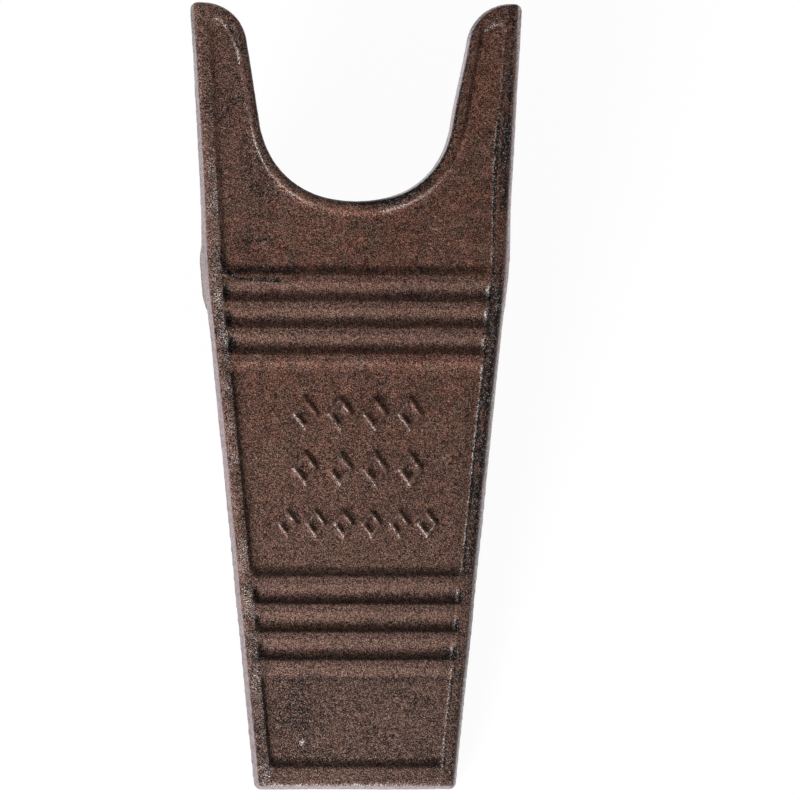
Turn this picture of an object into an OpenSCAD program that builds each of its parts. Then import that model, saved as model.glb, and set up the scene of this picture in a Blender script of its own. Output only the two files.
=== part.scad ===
// Boot jack: a cast iron plate with a heel fork, held up at the fork end by two bolted legs.
// The plate is drawn lying flat, with x across, y from the tail to the fork tips and z up from the
// top of its rim. It is then tilted to stand on its tail and its two feet, with the floor at z = 0
// and the origin on the floor under the middle of the standing part.

/* [Plate] */
// Length from the tail to the fork tips
plate_length = 280; // [270:1:300]
// Width of the lower edge at the tail
tail_width = 72; // [66:1:78]
// Width of the lower edge at the shoulders
shoulder_width = 108; // [106:1:112]
// Width of the lower edge at the fork tips
fork_width = 119; // [116:1:124]
// Distance from the tail to the shoulders, where the sides turn
shoulder_y = 180; // [172:1:181]
// Depth of the side walls
plate_depth = 10; // [9.5:0.5:13]
// How far the side walls lean out over their depth
side_draft = 1.8; // [0.8:0.1:2]
// How far they lean out at the fork tips
tip_draft = 1.2; // [0.4:0.1:2]
// Rounding of the upper edges
edge_round = 1.6; // [0.6:0.1:2]
// How far the lower edge swells out over each leg
swell = 0.7; // [0:0.1:1.6]
// Length of that swelling
swell_length = 50; // [44:1:56]
// How far its middle lies past the leg's
swell_shift = 4; // [0:1:6]
// Corner radius at the tail
tail_corner = 2.6; // [2:0.2:8]
// Slope of the standing plate in degrees
tilt = 10.5; // [8:0.5:13]
// Height of the sliver ground off under the tail, so that it rests flat
tail_flat = 0.8; // [0.4:0.1:1.2]

/* [Heel fork] */
// Radius of the throat that holds the heel
throat_radius = 34.6; // [31:0.1:36]
// How far the throat bulges out halfway from its sides to its bottom
throat_bulge = 1.3; // [0:0.1:2]
// Depth of the fork from its tips to the bottom of the throat
fork_depth = 70.5; // [64:0.5:74]
// Angle by which each side of the fork opens, in degrees
fork_flare = 10; // [6:0.5:11]
// Rounding inside the fork tips
tip_round = 16; // [9:0.5:17]
// Corner radius outside the fork tips
tip_corner = 2.8; // [2:0.2:5]
// How far the walls of the fork lean over their depth
fork_draft = 0.5; // [0:0.1:1]

/* [Relief] */
// Width of the rim between the side walls and the panels
rim = 3.9; // [3.4:0.1:4.6]
// Width of the rim along the sides of the fork
fork_rim = 3.3; // [2.6:0.1:4]
// Width of the rim at the bottom of the throat
throat_rim = 1.9; // [1.6:0.1:4]
// Width of the rim at the tail, from the lower edge
tail_rim = 8; // [6.5:0.1:10]
// Depth of the sunk panels
panel_depth = 1.6; // [1:0.1:2]
// Run of the steep slope at the sides of a panel
side_run = 0.7; // [0.4:0.1:1.2]
// Run of the slope at the outer sides of the fork panel
fork_side_run = 1.8; // [0.4:0.1:2.4]
// Run of the gentle slope at the ends of a panel
end_run = 3.2; // [1:0.1:3.4]
// Length of the tail panel
tail_panel = 35.7; // [28:0.1:38]
// Length of the middle panel
middle_panel = 76; // [68:0.1:77]
// Spacing of the grooves between the tail panel and the middle panel
tail_pitch = 9.9; // [8.5:0.05:10.2]
// Spacing of the grooves between the middle panel and the fork panel
fork_pitch = 9.35; // [8.5:0.05:9.6]
// Depth of the grooves
groove_depth = 2; // [1.2:0.1:2.4]
// Radius of the round floor of a groove
groove_floor = 2; // [1.4:0.1:2.4]
// Width of a grip stud in the two upper rows
stud_width = 10.4; // [8:0.2:11]
// Length of a grip stud in the two upper rows
stud_length = 14; // [10:0.5:16]
// Width of the raised band round a stud, at its foot
stud_band = 2.4; // [1.6:0.1:2.8]
// Width of the flat top of that band
stud_crest = 1; // [0.6:0.1:1.4]
// Height of the grip studs over the middle panel
stud_height = 1.2; // [0.4:0.1:1.4]

/* [Underside] */
// Depth of the hollow under the plate
hollow_depth = 4; // [2:0.5:4.5]
// Width of the wall round the hollow
hollow_wall = 7; // [6:0.5:8]
// Thickness of the ribs across the hollow
rib_width = 5; // [4:0.5:8]

/* [Legs] */
// Distance from the tail to the legs
leg_y = 183; // [180:1:186]
// Width of a leg at its root
root_width = 19; // [18:0.5:21]
// Length of a leg at its root
root_length = 33; // [31:1:36]
// Width of a leg at the floor
foot_width = 16; // [15.5:0.5:18]
// Length of a leg at the floor
foot_length = 26; // [24:1:30]
// How far the root stands out past the lower edge of the plate
leg_overhang = 0.3; // [0:0.1:2]

/* [Screws] */
// Thread diameter
screw_d = 6; // [5:0.5:6]
// Length under the head
screw_length = 25; // [22:1:28]
// Length of thread in the plate
screw_grip = 6; // [5:0.5:6]
// Clearance round a screw in its leg, on the radius
bore_gap = 0.3; // [0.2:0.05:0.5]
// Clearance round a thread in the plate, on the radius
thread_gap = 0.05; // [0.05:0.01:0.1]
// Clearance round the tongue of a leg
tongue_gap = 0.2; // [0.1:0.05:0.3]

/* [Hidden] */
$fn = 64;

iron_colour = "#5d463d";
steel_colour = "#a9a8a2";

// Steps in the arcs of an outline
corner_steps = 6;
tip_steps = 10;
throat_steps = 20;
round_steps = 4;
floor_steps = 8;
swell_steps = 10;

// How far a cutter passes the face that it cuts, and how far a sloping skin does
past = 1;
skin_past = 0.2;
// A point nearer the middle than this lies on it and has no mirror image
on_middle = 0.001;

tail_half = tail_width / 2;
shoulder_half = shoulder_width / 2;
fork_half = fork_width / 2;
body_slope = atan((shoulder_half - tail_half) / shoulder_y);
fork_slope = atan((fork_half - shoulder_half) / (plate_length - shoulder_y));
mean_slope = (body_slope + fork_slope) / 2;
throat_y = plate_length - fork_depth + throat_radius;

// Share of a wall below its rounding, and the angle at which the rounding ends
wall_share = 1 - edge_round / plate_depth;
plate_drafts = [side_draft, tip_draft, fork_draft];
round_turn = 70;
least_corner = 0.5;

// The relief stacks up from the tail: panel, grooves, panel, grooves, panel
groove_count = 3;
groove_share = 0.71;
band_share = groove_count + 1 - groove_share;
tail_band_y = tail_rim + tail_panel;
middle_y = tail_band_y + tail_pitch * band_share;
fork_band_y = middle_y + middle_panel;
fork_panel_y = fork_band_y + fork_pitch * band_share;
panel_inset = side_draft + rim;
fork_panel_inset = fork_draft + fork_rim;
panel_corner = 4.2;
fork_panel_corner = 4.6;
panel_tip_round = 5;
groove_end = 1;

// Rows of grip studs from the fork side down: studs in the row and their size
stud_rows = [[4, 1], [4, 1], [6, 0.8]];
stud_gap = 2;
stud_root = 0.4;
stud_reach = stud_width * stud_length / norm([stud_width, stud_length]) / 2;
stud_slope = (stud_band - stud_crest) / 2 / stud_height;
row_margin = 0.9;
row_pitch = middle_panel / (len(stud_rows) + row_margin);

// Hollow of the underside
hollow_run = 0.8;
hollow_corner = 2.5;
hollow_tip = 20;
rib_rise = 1;

// Standing
lift = plate_depth * cos(tilt) - tail_flat;
tail_end = min(plate_depth * sin(tilt), side_draft * wall_share * cos(tilt) + edge_round * sin(tilt));
fork_end = plate_length * cos(tilt) + plate_depth * sin(tilt);
floor_block = [2 * fork_width, 2 * plate_length, 3 * plate_depth];

// Legs, with h measured down from the plate along the leg
leg_height = leg_y * tan(tilt) - tail_flat / cos(tilt);
leg_reach = leg_height + root_length * tan(tilt);
reach_share = leg_reach / leg_height;
leg_x = side_x(leg_y) + leg_overhang - root_width / 2;
root_corner = 7;
root_round = 0.8;
tongue = [8, 5, 2];
tongue_y = -10.5;

// Screws and washers
washer_thickness = 1.6;
washer_d = screw_d + 3.8;
washer_gap = 0.1;
washer_slit = 0.8;
slit_lean = 20;
head_d = screw_d + 4;
head_height = screw_d;
head_chamfer = 0.6;
point_chamfer = 0.8;
socket_flats = 5;
socket_d = socket_flats / cos(30);
socket_depth = 3;
head_gap = 0.5;
seat_h = screw_length - washer_thickness - screw_grip;
blind_depth = screw_grip + 0.6;

// Half-width of the plate's lower edge at a distance from the tail
function side_x(y) = y < shoulder_y
    ? tail_half + y * tan(body_slope)
    : shoulder_half + (y - shoulder_y) * tan(fork_slope);

function side_slope(y) = y < shoulder_y ? body_slope : fork_slope;

// Half-width of the relief between the side rims
function relief_x(y) = side_x(y) - panel_inset / cos(side_slope(y));

// An outline point is [x, y, direction of the outward normal, share of the fork's own draft]
function arc(centre, radius, from, to, steps, share = [0, 0]) = [
    for (i = [0:steps])
        let (turn = from + (to - from) * i / steps)
        [
            centre.x + radius * cos(turn),
            centre.y + radius * sin(turn),
            turn,
            share[0] + (share[1] - share[0]) * i / steps
        ]
];

// Corner between the side and an end that faces the tail
function low_corner(y, radius, inset) =
    let (slope = side_slope(y))
    let (x = side_x(y) - (inset + radius * (1 - sin(slope))) / cos(slope))
    arc([x, y + radius], radius, -90, -slope, corner_steps);

// Corner between the side and an end that faces away from the tail
function high_corner(y, radius, inset) =
    let (slope = side_slope(y))
    let (x = side_x(y) - (inset + radius * (1 + sin(slope))) / cos(slope))
    arc([x, y - radius], radius, -slope, 90, corner_steps);

function shoulder(inset) = [[shoulder_half - inset / cos(mean_slope), shoulder_y, -mean_slope, 0]];

// Side past the leg, swollen out by up to a height
function swollen_side(inset, height) = [
    for (i = [0:swell_steps])
        let (share = i / swell_steps - 1 / 2)
        let (y = leg_y + swell_shift + swell_length * share, slope = side_slope(y))
        [side_x(y) - inset / cos(slope) + height * (1 + cos(360 * share)) / 2, y, -slope, 0]
];

// Point of the throat in a direction: the throat may be moved out, and its centre may lie higher
function throat_point(turn, inset, rise) =
    let (reach = throat_radius + inset + throat_bulge * pow(sin(2 * turn), 2))
    [reach * cos(turn), throat_y + rise + reach * sin(turn)];

// Largest rounding inside a fork tip that leaves room for the corner outside it
function tip_room(tip_y, corner, insets, rise) =
    let (slope = side_slope(tip_y), touch = throat_point(-fork_flare, insets[2], rise))
    let (outer = side_x(tip_y) - (insets[1] + corner * (1 + sin(slope))) / cos(slope) - least_corner)
    let (inner = touch.x + (tip_y - touch.y) * tan(fork_flare))
    (outer - inner) * cos(fork_flare) / (1 - sin(fork_flare));

// Inside of a prong, from its tip down to the middle of the throat
function prong(tip_y, radius, inset, rise) =
    let (touch = throat_point(-fork_flare, inset, rise))
    let (y = tip_y - radius)
    let (x = touch.x + (radius + (y - touch.y) * sin(fork_flare)) / cos(fork_flare))
    concat(
        arc([x, y], radius, 90, 180 - fork_flare, tip_steps, [0, 1]),
        [
            for (i = [0:throat_steps])
                let (turn = -fork_flare - (90 - fork_flare) * i / throat_steps)
                let (p = throat_point(turn, inset, rise))
                [p.x, p.y, turn + 180, 1]
        ]
    );

// The right half of an outline and its mirror image, as one loop
function both_halves(half) = concat(half, [
    for (i = [len(half) - 1:-1:0])
        let (p = half[i])
        if (abs(p.x) > on_middle) [-p.x, p.y, 180 - p[2], p[3]]
]);

// Outline with a heel fork: the insets are those of its sides, its fork tips and its fork
function fork_outline(y, corner, insets, tip_y, tip_round, tip_corner, rise = 0, side = []) =
    let (radius = min(tip_round, tip_room(tip_y, tip_corner, insets, rise)))
    both_halves(concat(
        low_corner(y, corner, insets[0]),
        side,
        high_corner(tip_y, tip_corner, insets[1]),
        prong(tip_y, radius, insets[2], rise)
    ));

// Outline of the plate at a height, moved in from its lower edge
function plate_ring(z, insets) =
    let (inset = insets[0], end_inset = insets[2])
    let (tail = max(tail_corner - inset, least_corner), tip = max(tip_corner - inset, least_corner))
    let (side = swollen_side(inset, swell * max(-z / plate_depth, 0)), end = plate_length - end_inset)
    let (outline = fork_outline(inset, tail, insets, end, tip_round - end_inset, tip, 0, side))
    [for (p = outline) [p.x, p.y, z]];

function panel_outline(from, to) = both_halves(concat(
    low_corner(from, panel_corner, panel_inset),
    high_corner(to, panel_corner, panel_inset)
));

function block_outline(size, corner) = both_halves(concat(
    arc([size.x / 2 - corner, corner - size.y / 2], corner, -90, 0, corner_steps),
    arc([size.x / 2 - corner, size.y / 2 - corner], corner, 0, 90, corner_steps)
));

// An outline moved out along its normals, at a height
function ring(outline, z, out, fork_out) = [
    for (p = outline)
        let (d = out + (fork_out - out) * p[3])
        [p.x + d * cos(p[2]), p.y + d * sin(p[2]), z]
];

// A panel's outline at a height on its slopes, which run more along the plate than across it
function slope_ring(outline, z, outer_run) =
    let (share = z / panel_depth)
    [
        for (p = outline)
            let (run = outer_run + (side_run - outer_run) * p[3])
            [p.x + share * run * cos(p[2]), p.y + share * end_run * sin(p[2]), z]
    ];

// Solid skin through rings that are listed from the bottom up
module loft(rings) {
    count = len(rings[0]);
    last = (len(rings) - 1) * count;
    walls = [
        for (row = [0:count:last - count], i = [0:count - 1])
            let (a = row + i, b = row + (i + 1) % count)
            each [[a, a + count, b + count], [a, b + count, b]]
    ];
    bottom = [for (i = [0:count - 1]) i];
    top = [for (i = [count - 1:-1:0]) last + i];
    polyhedron([for (r = rings) each r], concat([bottom], walls, [top]));
}

// Layer of the lying plate between two heights
module layer(bottom, top) {
    translate([-fork_width, -past, bottom]) cube([2 * fork_width, plate_length + 2 * past, top - bottom]);
}

// Slopes of a panel, from above the rim to below the panel's floor
module panel_slopes(outline, outer_run = side_run) {
    loft([slope_ring(outline, -panel_depth - skin_past, outer_run), slope_ring(outline, past, outer_run)]);
}

// Section of a groove: straight walls that run into a round floor
function groove_section(width) =
    let (lean = 2 * groove_floor - groove_depth)
    let (tangent = (width - sqrt(width * width - 4 * lean * groove_depth)) / (2 * lean))
    let (turn = 2 * atan(tangent))
    concat(
        [[width / 2, past], [-width / 2, past], [-width / 2, 0]],
        [
            for (i = [0:floor_steps])
                let (a = 270 - turn + 2 * turn * i / floor_steps)
                [groove_floor * cos(a), groove_floor * (1 + sin(a)) - groove_depth]
        ],
        [[width / 2, 0]]
    );

// Cutters for a band of grooves with the first land at y
module grooves(y, pitch) {
    width = pitch * groove_share;
    slope = groove_end / groove_depth;
    for (i = [1:groove_count]) {
        middle = y + i * pitch - width / 2;
        top = relief_x(middle) + slope * past;
        foot = relief_x(middle) - groove_end - slope * past;
        translate([0, middle, 0]) intersection() {
            rotate([90, 0, 90]) linear_extrude(2 * fork_width, center = true) polygon(groove_section(width));
            rotate([90, 0, 0]) linear_extrude(2 * width, center = true) polygon([
                [top, past],
                [-top, past],
                [-foot, -groove_depth - past],
                [foot, -groove_depth - past]
            ]);
        }
    }
}

// Outline of a stud at a height, with its sides moved in
function lozenge(size, inset, z) =
    let (half = size * (1 - inset / stud_reach) * [stud_width, stud_length] / 2)
    [[0, -half.y, z], [half.x, 0, z], [0, half.y, z], [-half.x, 0, z]];

// Grip stud: a raised band round a lozenge, from below the panel's floor up
module grip_stud(size) {
    difference() {
        loft([for (z = [-stud_root, stud_height]) lozenge(size, stud_slope * z, z)]);
        loft([
            for (z = [-stud_root - skin_past, stud_height + skin_past])
                lozenge(size, stud_band - stud_slope * z, z)
        ]);
    }
}

module grip_studs() {
    for (row = [0:len(stud_rows) - 1]) {
        count = stud_rows[row][0];
        size = stud_rows[row][1];
        step = (stud_width + stud_gap) * size;
        y = middle_y + middle_panel / 2 + row_pitch * ((len(stud_rows) - 1) / 2 - row);
        for (i = [0:count - 1])
            translate([step * (i - (count - 1) / 2), y, -panel_depth]) grip_stud(size);
    }
}

// Puts a right-hand leg's own frame under the plate, with z = 0 at the plate's lower face
module at_leg() {
    translate([leg_x, leg_y, -plate_depth]) rotate([0, 0, -mean_slope]) children();
}

module at_legs() {
    for (side = [0, 1])
        mirror([side, 0, 0]) at_leg() children();
}

// Skin of the plate: drafted walls, a rounding and a last slope that runs out above the rim's top
module plate_skin() {
    below = past / plate_depth;
    round_z = edge_round * (sin(round_turn) - 1);
    run_out = edge_round * (1 - cos(round_turn)) + (skin_past - round_z) * tan(round_turn);
    loft(concat(
        [plate_ring(-plate_depth - past, -plate_drafts * below)],
        [
            for (i = [0:round_steps])
                let (turn = round_turn * i / round_steps)
                let (inset = edge_round * (1 - cos(turn)))
                plate_ring(edge_round * (sin(turn) - 1), plate_drafts * wall_share + [1, 1, 1] * inset)
        ],
        [plate_ring(skin_past, plate_drafts * wall_share + [1, 1, 1] * run_out)]
    ));
}

module plate_blank() {
    intersection() {
        plate_skin();
        layer(-plate_depth, 0);
    }
}

module relief_cuts() {
    fork_tip = plate_length - panel_inset;
    insets = [panel_inset, panel_inset, fork_panel_inset];
    intersection() {
        union() {
            panel_slopes(panel_outline(tail_rim, tail_band_y));
            panel_slopes(panel_outline(middle_y, fork_band_y));
            panel_slopes(fork_outline(fork_panel_y, fork_panel_corner, insets, fork_tip, panel_tip_round,
                panel_corner, fork_rim - throat_rim), fork_side_run);
        }
        layer(-panel_depth, past);
    }
    grooves(tail_band_y, tail_pitch);
    grooves(fork_band_y, fork_pitch);
}

// Seat that the root of each leg is bolted up against
module leg_seats() {
    at_legs() loft([
        ring(block_outline([root_width, root_length], root_corner), -past, 0, 0),
        ring(block_outline([root_width, root_length], root_corner), plate_depth, 0, 0)
    ]);
}

module underside_hollow() {
    insets = [1, 1, 1] * hollow_wall;
    outline = fork_outline(hollow_wall, hollow_corner, insets, plate_length - hollow_tip, hollow_corner,
        hollow_corner, 0, shoulder(hollow_wall));
    over = hollow_run * past / hollow_depth;
    under = hollow_run * (1 + skin_past / hollow_depth);
    rib_z = rib_rise - plate_depth;
    ceiling = hollow_depth - plate_depth;
    difference() {
        intersection() {
            loft([
                ring(outline, -plate_depth - past, over, over),
                ring(outline, ceiling + skin_past, -under, -under)
            ]);
            layer(-plate_depth - past, ceiling);
        }
        leg_seats();
        translate([-rib_width / 2, 0, rib_z]) cube([rib_width, plate_length - fork_depth, plate_depth]);
        translate([-leg_x, leg_y - rib_width / 2, rib_z]) cube([2 * leg_x, rib_width, plate_depth]);
    }
}

module seat_cuts() {
    slot = tongue + [2, 2, 2] * tongue_gap;
    at_legs() {
        translate([0, 0, -past]) cylinder(d = screw_d + 2 * thread_gap, h = blind_depth + past);
        translate([-slot.x / 2, tongue_y - slot.y / 2, -past]) cube(slot + [0, 0, past]);
    }
}

// Tilts the part on to its tail and feet
module stand() {
    translate([0, -(tail_end + fork_end) / 2, lift]) rotate([tilt, 0, 0]) children();
}

module below_floor() {
    translate([-floor_block.x / 2, -floor_block.y / 2, -floor_block.z]) cube(floor_block);
}

module leg() {
    root = [root_width, root_length];
    foot = root + ([foot_width, foot_length] - root) * reach_share;
    difference() {
        union() {
            loft([
                ring(block_outline(foot, root_corner), -leg_reach, 0, 0),
                ring(block_outline(root, root_corner), -root_round, 0, 0),
                ring(block_outline(root, root_corner), 0, -root_round, -root_round)
            ]);
            translate([-tongue.x / 2, tongue_y - tongue.y / 2, -past]) cube(tongue + [0, 0, past]);
        }
        translate([0, 0, -leg_reach]) cylinder(d = screw_d + 2 * bore_gap, h = leg_reach + past);
        translate([0, 0, -leg_reach - past])
            cylinder(d = head_d + 2 * head_gap, h = leg_reach + past - seat_h);
    }
}

// Screw with its head's upper face at z = 0 and its thread upward
module screw() {
    radius = screw_d / 2;
    translate([0, 0, screw_length - point_chamfer])
        cylinder(r1 = radius, r2 = radius - point_chamfer, h = point_chamfer);
    cylinder(r = radius, h = screw_length - point_chamfer);
    difference() {
        union() {
            translate([0, 0, head_chamfer - head_height])
                cylinder(d = head_d, h = head_height - head_chamfer);
            translate([0, 0, -head_height])
                cylinder(d1 = head_d - 2 * head_chamfer, d2 = head_d, h = head_chamfer);
        }
        translate([0, 0, -head_height - past]) cylinder(d = socket_d, h = socket_depth + past, $fn = 6);
    }
}

// Spring washer with a slanting slit, with its lower face at z = 0
module washer() {
    difference() {
        cylinder(d = washer_d, h = washer_thickness);
        translate([0, 0, -past]) cylinder(d = screw_d + 2 * washer_gap, h = washer_thickness + 2 * past);
        translate([0, washer_d / 2, washer_thickness / 2]) rotate([0, slit_lean, 0])
            cube([washer_slit, washer_d, 3 * washer_thickness], center = true);
    }
}

module jack_plate() {
    color(iron_colour) difference() {
        stand() {
            difference() {
                plate_blank();
                relief_cuts();
                underside_hollow();
                seat_cuts();
            }
            grip_studs();
        }
        below_floor();
    }
}

module right_leg() {
    color(iron_colour) difference() {
        stand() at_leg() leg();
        below_floor();
    }
}

module left_leg() {
    mirror([1, 0, 0]) right_leg();
}

module leg_screws() {
    color(steel_colour) stand() at_legs() translate([0, 0, -seat_h - washer_thickness]) screw();
}

module leg_washers() {
    color(steel_colour) stand() at_legs() translate([0, 0, -seat_h - washer_thickness]) washer();
}

jack_plate();
left_leg();
right_leg();
leg_screws();
leg_washers();
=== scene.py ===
"""Boot jack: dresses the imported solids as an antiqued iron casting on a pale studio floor."""

import logging
import math
from dataclasses import dataclass
from enum import Enum

import bmesh
import bpy
import numpy as np
from mathutils import Matrix, Vector, noise


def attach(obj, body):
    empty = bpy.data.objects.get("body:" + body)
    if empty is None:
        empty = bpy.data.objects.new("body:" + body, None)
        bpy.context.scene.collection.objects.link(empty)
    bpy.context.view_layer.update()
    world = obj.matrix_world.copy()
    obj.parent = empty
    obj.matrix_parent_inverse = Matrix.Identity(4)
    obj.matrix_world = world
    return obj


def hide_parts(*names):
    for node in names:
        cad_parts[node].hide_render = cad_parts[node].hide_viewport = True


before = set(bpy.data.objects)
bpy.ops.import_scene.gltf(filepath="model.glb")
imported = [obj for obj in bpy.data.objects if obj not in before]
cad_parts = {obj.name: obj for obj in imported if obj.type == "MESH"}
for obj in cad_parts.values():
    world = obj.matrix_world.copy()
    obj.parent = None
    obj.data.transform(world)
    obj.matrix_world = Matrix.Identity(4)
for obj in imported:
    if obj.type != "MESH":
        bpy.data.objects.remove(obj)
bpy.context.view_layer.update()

LOG = logging.getLogger("boot_jack")
BODY = "root"
MM = 0.001
MERGE = 1e-6

Colour = tuple[float, float, float, float]
Socket = bpy.types.NodeSocket
Feed = Socket | float | tuple[float, ...]
Line = list[tuple[float, float]]

WHITE: Colour = (1.0, 1.0, 1.0, 1.0)


class Slot(Enum):
    """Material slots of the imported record."""

    IRON = "antique_iron"
    STEEL = "screw_steel"


class Fastener(Enum):
    """CAD nodes of the fasteners, two of a kind in each."""

    SCREWS = "leg_screws"
    WASHERS = "leg_washers"


class Mask(Enum):
    """Values that a casting carries on its points for its finish and for its painted light, shade and
    reflection.
    """

    HOLLOW = "hollow"
    WEAR_AND_HIGHLIGHT = "wear_and_highlight"
    PATINA_AND_SHADE = "patina_and_shade"
    SLEEK_AND_REFLECTION = "sleek_and_reflection"
    FADED = "faded"
    TONE_AND_PAINTED_LIGHT = "tone_and_painted_light"


def step(values: np.ndarray, low: float, high: float) -> np.ndarray:
    """Smooth step of values, 0 up to the lower bound and 1 from the upper one."""
    share = np.clip((values - low) / (high - low), 0.0, 1.0)
    return share * share * (3.0 - 2.0 * share)


def fall(values: np.ndarray, low: float, high: float) -> np.ndarray:
    """Smooth fall of values, 1 up to the lower bound and 0 from the upper one."""
    return 1.0 - step(values, low, high)


def band(values: np.ndarray, low: float, high: float, soft: float) -> np.ndarray:
    """Smooth band of values, 1 between two bounds and 0 outside, with edges of a soft half-width."""
    return step(values, low - soft, low + soft) * fall(values, high - soft, high + soft)


def hump(values: np.ndarray, middle: float, width: float | np.ndarray) -> np.ndarray:
    """Smooth hump of values, 1 at its middle and little more than a third at its width from there."""
    return np.exp(-(((values - middle) / width) ** 2))


def stroke(x: np.ndarray, y: np.ndarray, path: Line, full: float, none: float) -> np.ndarray:
    """Smooth stroke along a line of straight pieces.

    Args:
        x: Places across.
        y: Places along.
        path: Corners of the line.
        full: Distance from the line up to which the result is 1.
        none: Distance from which it is 0.

    Returns:
        Results from 0 to 1.
    """
    gaps = []
    for (x0, y0), (x1, y1) in zip(path, path[1:]):
        run, rise = x1 - x0, y1 - y0
        share = np.clip(((x - x0) * run + (y - y0) * rise) / (run * run + rise * rise), 0.0, 1.0)
        gaps.append(np.hypot(x - x0 - share * run, y - y0 - share * rise))
    return fall(np.min(gaps, axis=0), full, none)


@dataclass(frozen=True)
class Stance:
    """How the plate, drawn lying flat, is tilted to stand on its tail and feet.

    Attributes:
        tilt: Slope of the standing plate.
        shift: Place of the lying frame's origin along the row's Y axis.
        lift: Height of that origin.
    """

    tilt: float = math.radians(10.5)
    shift: float = -0.139456
    lift: float = 0.0090325

    def to_row(self) -> Matrix:
        """Matrix from the lying plate's frame to the standing part's."""
        return Matrix.Translation((0.0, self.shift, self.lift)) @ Matrix.Rotation(self.tilt, 4, "X")

    def to_plate(self) -> Matrix:
        """Matrix from the standing part's frame to the lying plate's."""
        return self.to_row().inverted()


@dataclass(frozen=True)
class Outline:
    """Outline of the lying plate in millimetres, with x across and y from the tail.

    Attributes:
        length: Length from the tail to the fork tips.
        tail_half: Half-width at the tail.
        shoulder_half: Half-width at the shoulders.
        fork_half: Half-width at the fork tips.
        shoulder_y: Place of the shoulders.
        throat_radius: Radius of the fork's throat.
        throat_bulge: How far the throat bulges out halfway from its sides to its bottom.
        throat_y: Place of the throat's centre.
        flare: Angle at which each side of the fork opens.
    """

    length: float = 280.0
    tail_half: float = 36.0
    shoulder_half: float = 54.0
    fork_half: float = 59.5
    shoulder_y: float = 180.0
    throat_radius: float = 34.6
    throat_bulge: float = 1.3
    throat_y: float = 244.1
    flare: float = math.radians(10)

    def side_gap(self, x: np.ndarray, y: np.ndarray) -> np.ndarray:
        """Distance in from the nearer long side, negative outside the lower edge."""
        places = [0.0, self.shoulder_y, self.length]
        return np.interp(y, places, [self.tail_half, self.shoulder_half, self.fork_half]) - np.abs(x)

    def fork_gap(self, x: np.ndarray, y: np.ndarray) -> np.ndarray:
        """Distance out from the wall of the heel fork.

        Args:
            x: Places across.
            y: Places along.

        Returns:
            Distances, negative inside the fork's opening.
        """
        rise = y - self.throat_y
        across = np.abs(x)
        bulge = self.throat_bulge * np.sin(2.0 * np.arctan2(rise, across)) ** 2
        throat = np.hypot(across, rise) - self.throat_radius - bulge
        prong = across * math.cos(self.flare) - rise * math.sin(self.flare) - self.throat_radius
        return np.where(rise > -across * math.tan(self.flare), prong, throat)


class Wiring:
    """Adds nodes to one node tree and joins them."""

    def __init__(self, tree: bpy.types.NodeTree) -> None:
        """Keeps the tree that is being wired."""
        self.tree = tree

    def feed(self, node: bpy.types.Node, inputs: dict[str | int, Feed]) -> None:
        """Joins inputs of a node to other sockets, or sets their own values.

        Args:
            node: The node.
            inputs: Socket or value for each input, by its name or number.
        """
        for name, value in inputs.items():
            if isinstance(value, Socket):
                self.tree.links.new(value, node.inputs[name])
            else:
                node.inputs[name].default_value = value

    def add(
        self, kind: str, inputs: dict[str | int, Feed] | None = None, **settings: object
    ) -> bpy.types.Node:
        """Adds a node.

        Args:
            kind: Blender's name of the node type.
            inputs: Values or sockets for its inputs.
            **settings: Properties of the node.

        Returns:
            The new node.
        """
        node = self.tree.nodes.new(kind)
        for name, value in settings.items():
            setattr(node, name, value)
        self.feed(node, inputs or {})
        return node

    def maths(self, operation: str, first: Feed, second: Feed, clamp: bool = False) -> Socket:
        """Result of one of Blender's operations on two values, kept from 0 to 1 if it is clamped."""
        node = self.add("ShaderNodeMath", {0: first, 1: second}, operation=operation, use_clamp=clamp)
        return node.outputs[0]

    def times(self, first: Feed, second: Feed) -> Socket:
        """Product of two values."""
        return self.maths("MULTIPLY", first, second)

    def total(self, *values: Feed) -> Socket:
        """Sum of two or more values.

        Args:
            *values: The values.

        Returns:
            The sum's socket.
        """
        result = values[0]
        for value in values[1:]:
            result = self.maths("ADD", result, value)
        return result

    def scaled(self, colour: Feed, factor: Feed) -> Socket:
        """Colour times a factor."""
        return self.add("ShaderNodeVectorMath", {0: colour, "Scale": factor}, operation="SCALE").outputs[0]

    def blend(self, share: Feed, first: Feed, second: Feed, mode: str = "MIX") -> Socket:
        """Colour with a share of a second one, in one of Blender's blend modes."""
        inputs = {0: share, 6: first, 7: second}
        return self.add("ShaderNodeMix", inputs, data_type="RGBA", blend_type=mode).outputs[2]

    def either(self, share: Feed, first: Feed, second: Feed) -> Socket:
        """Shader with a share of a second one."""
        return self.add("ShaderNodeMixShader", {0: share, 1: first, 2: second}).outputs[0]

    def ease(self, value: Feed, low: Feed, high: Feed, start: Feed = 0.0, end: Feed = 1.0) -> Socket:
        """Smooth step of a value between two bounds, from a start to an end."""
        bounds = {"Value": value, "From Min": low, "From Max": high, "To Min": start, "To Max": end}
        return self.add("ShaderNodeMapRange", bounds, interpolation_type="SMOOTHSTEP").outputs[0]

    def cloud(self, vector: Feed, scale: Feed, detail: float = 2.0, rough: float = 0.5) -> Socket:
        """Noise on a vector, with its waves to the metre, its octaves and the share that each one keeps."""
        inputs = {"Vector": vector, "Scale": scale, "Detail": detail, "Roughness": rough}
        return self.add("ShaderNodeTexNoise", inputs).outputs[0]

    def spread(self, noise_value: Feed, start: float, end: float) -> Socket:
        """Noise value spread out between two results."""
        return self.ease(noise_value, 0.3, 0.7, start, end)

    def shown(self, direct: float) -> Socket:
        """How far a ray shows the studio as the picture has it, instead of bringing its light.

        Args:
            direct: Result for rays from the camera.

        Returns:
            The result's socket: 1 for mirrored and transmitted rays, and 0 for the rest.
        """
        ray = self.add("ShaderNodeLightPath").outputs
        mirrored = self.maths("MAXIMUM", ray["Is Glossy Ray"], ray["Is Transmission Ray"])
        return self.maths("MAXIMUM", self.times(ray["Is Camera Ray"], direct), mirrored)


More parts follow.
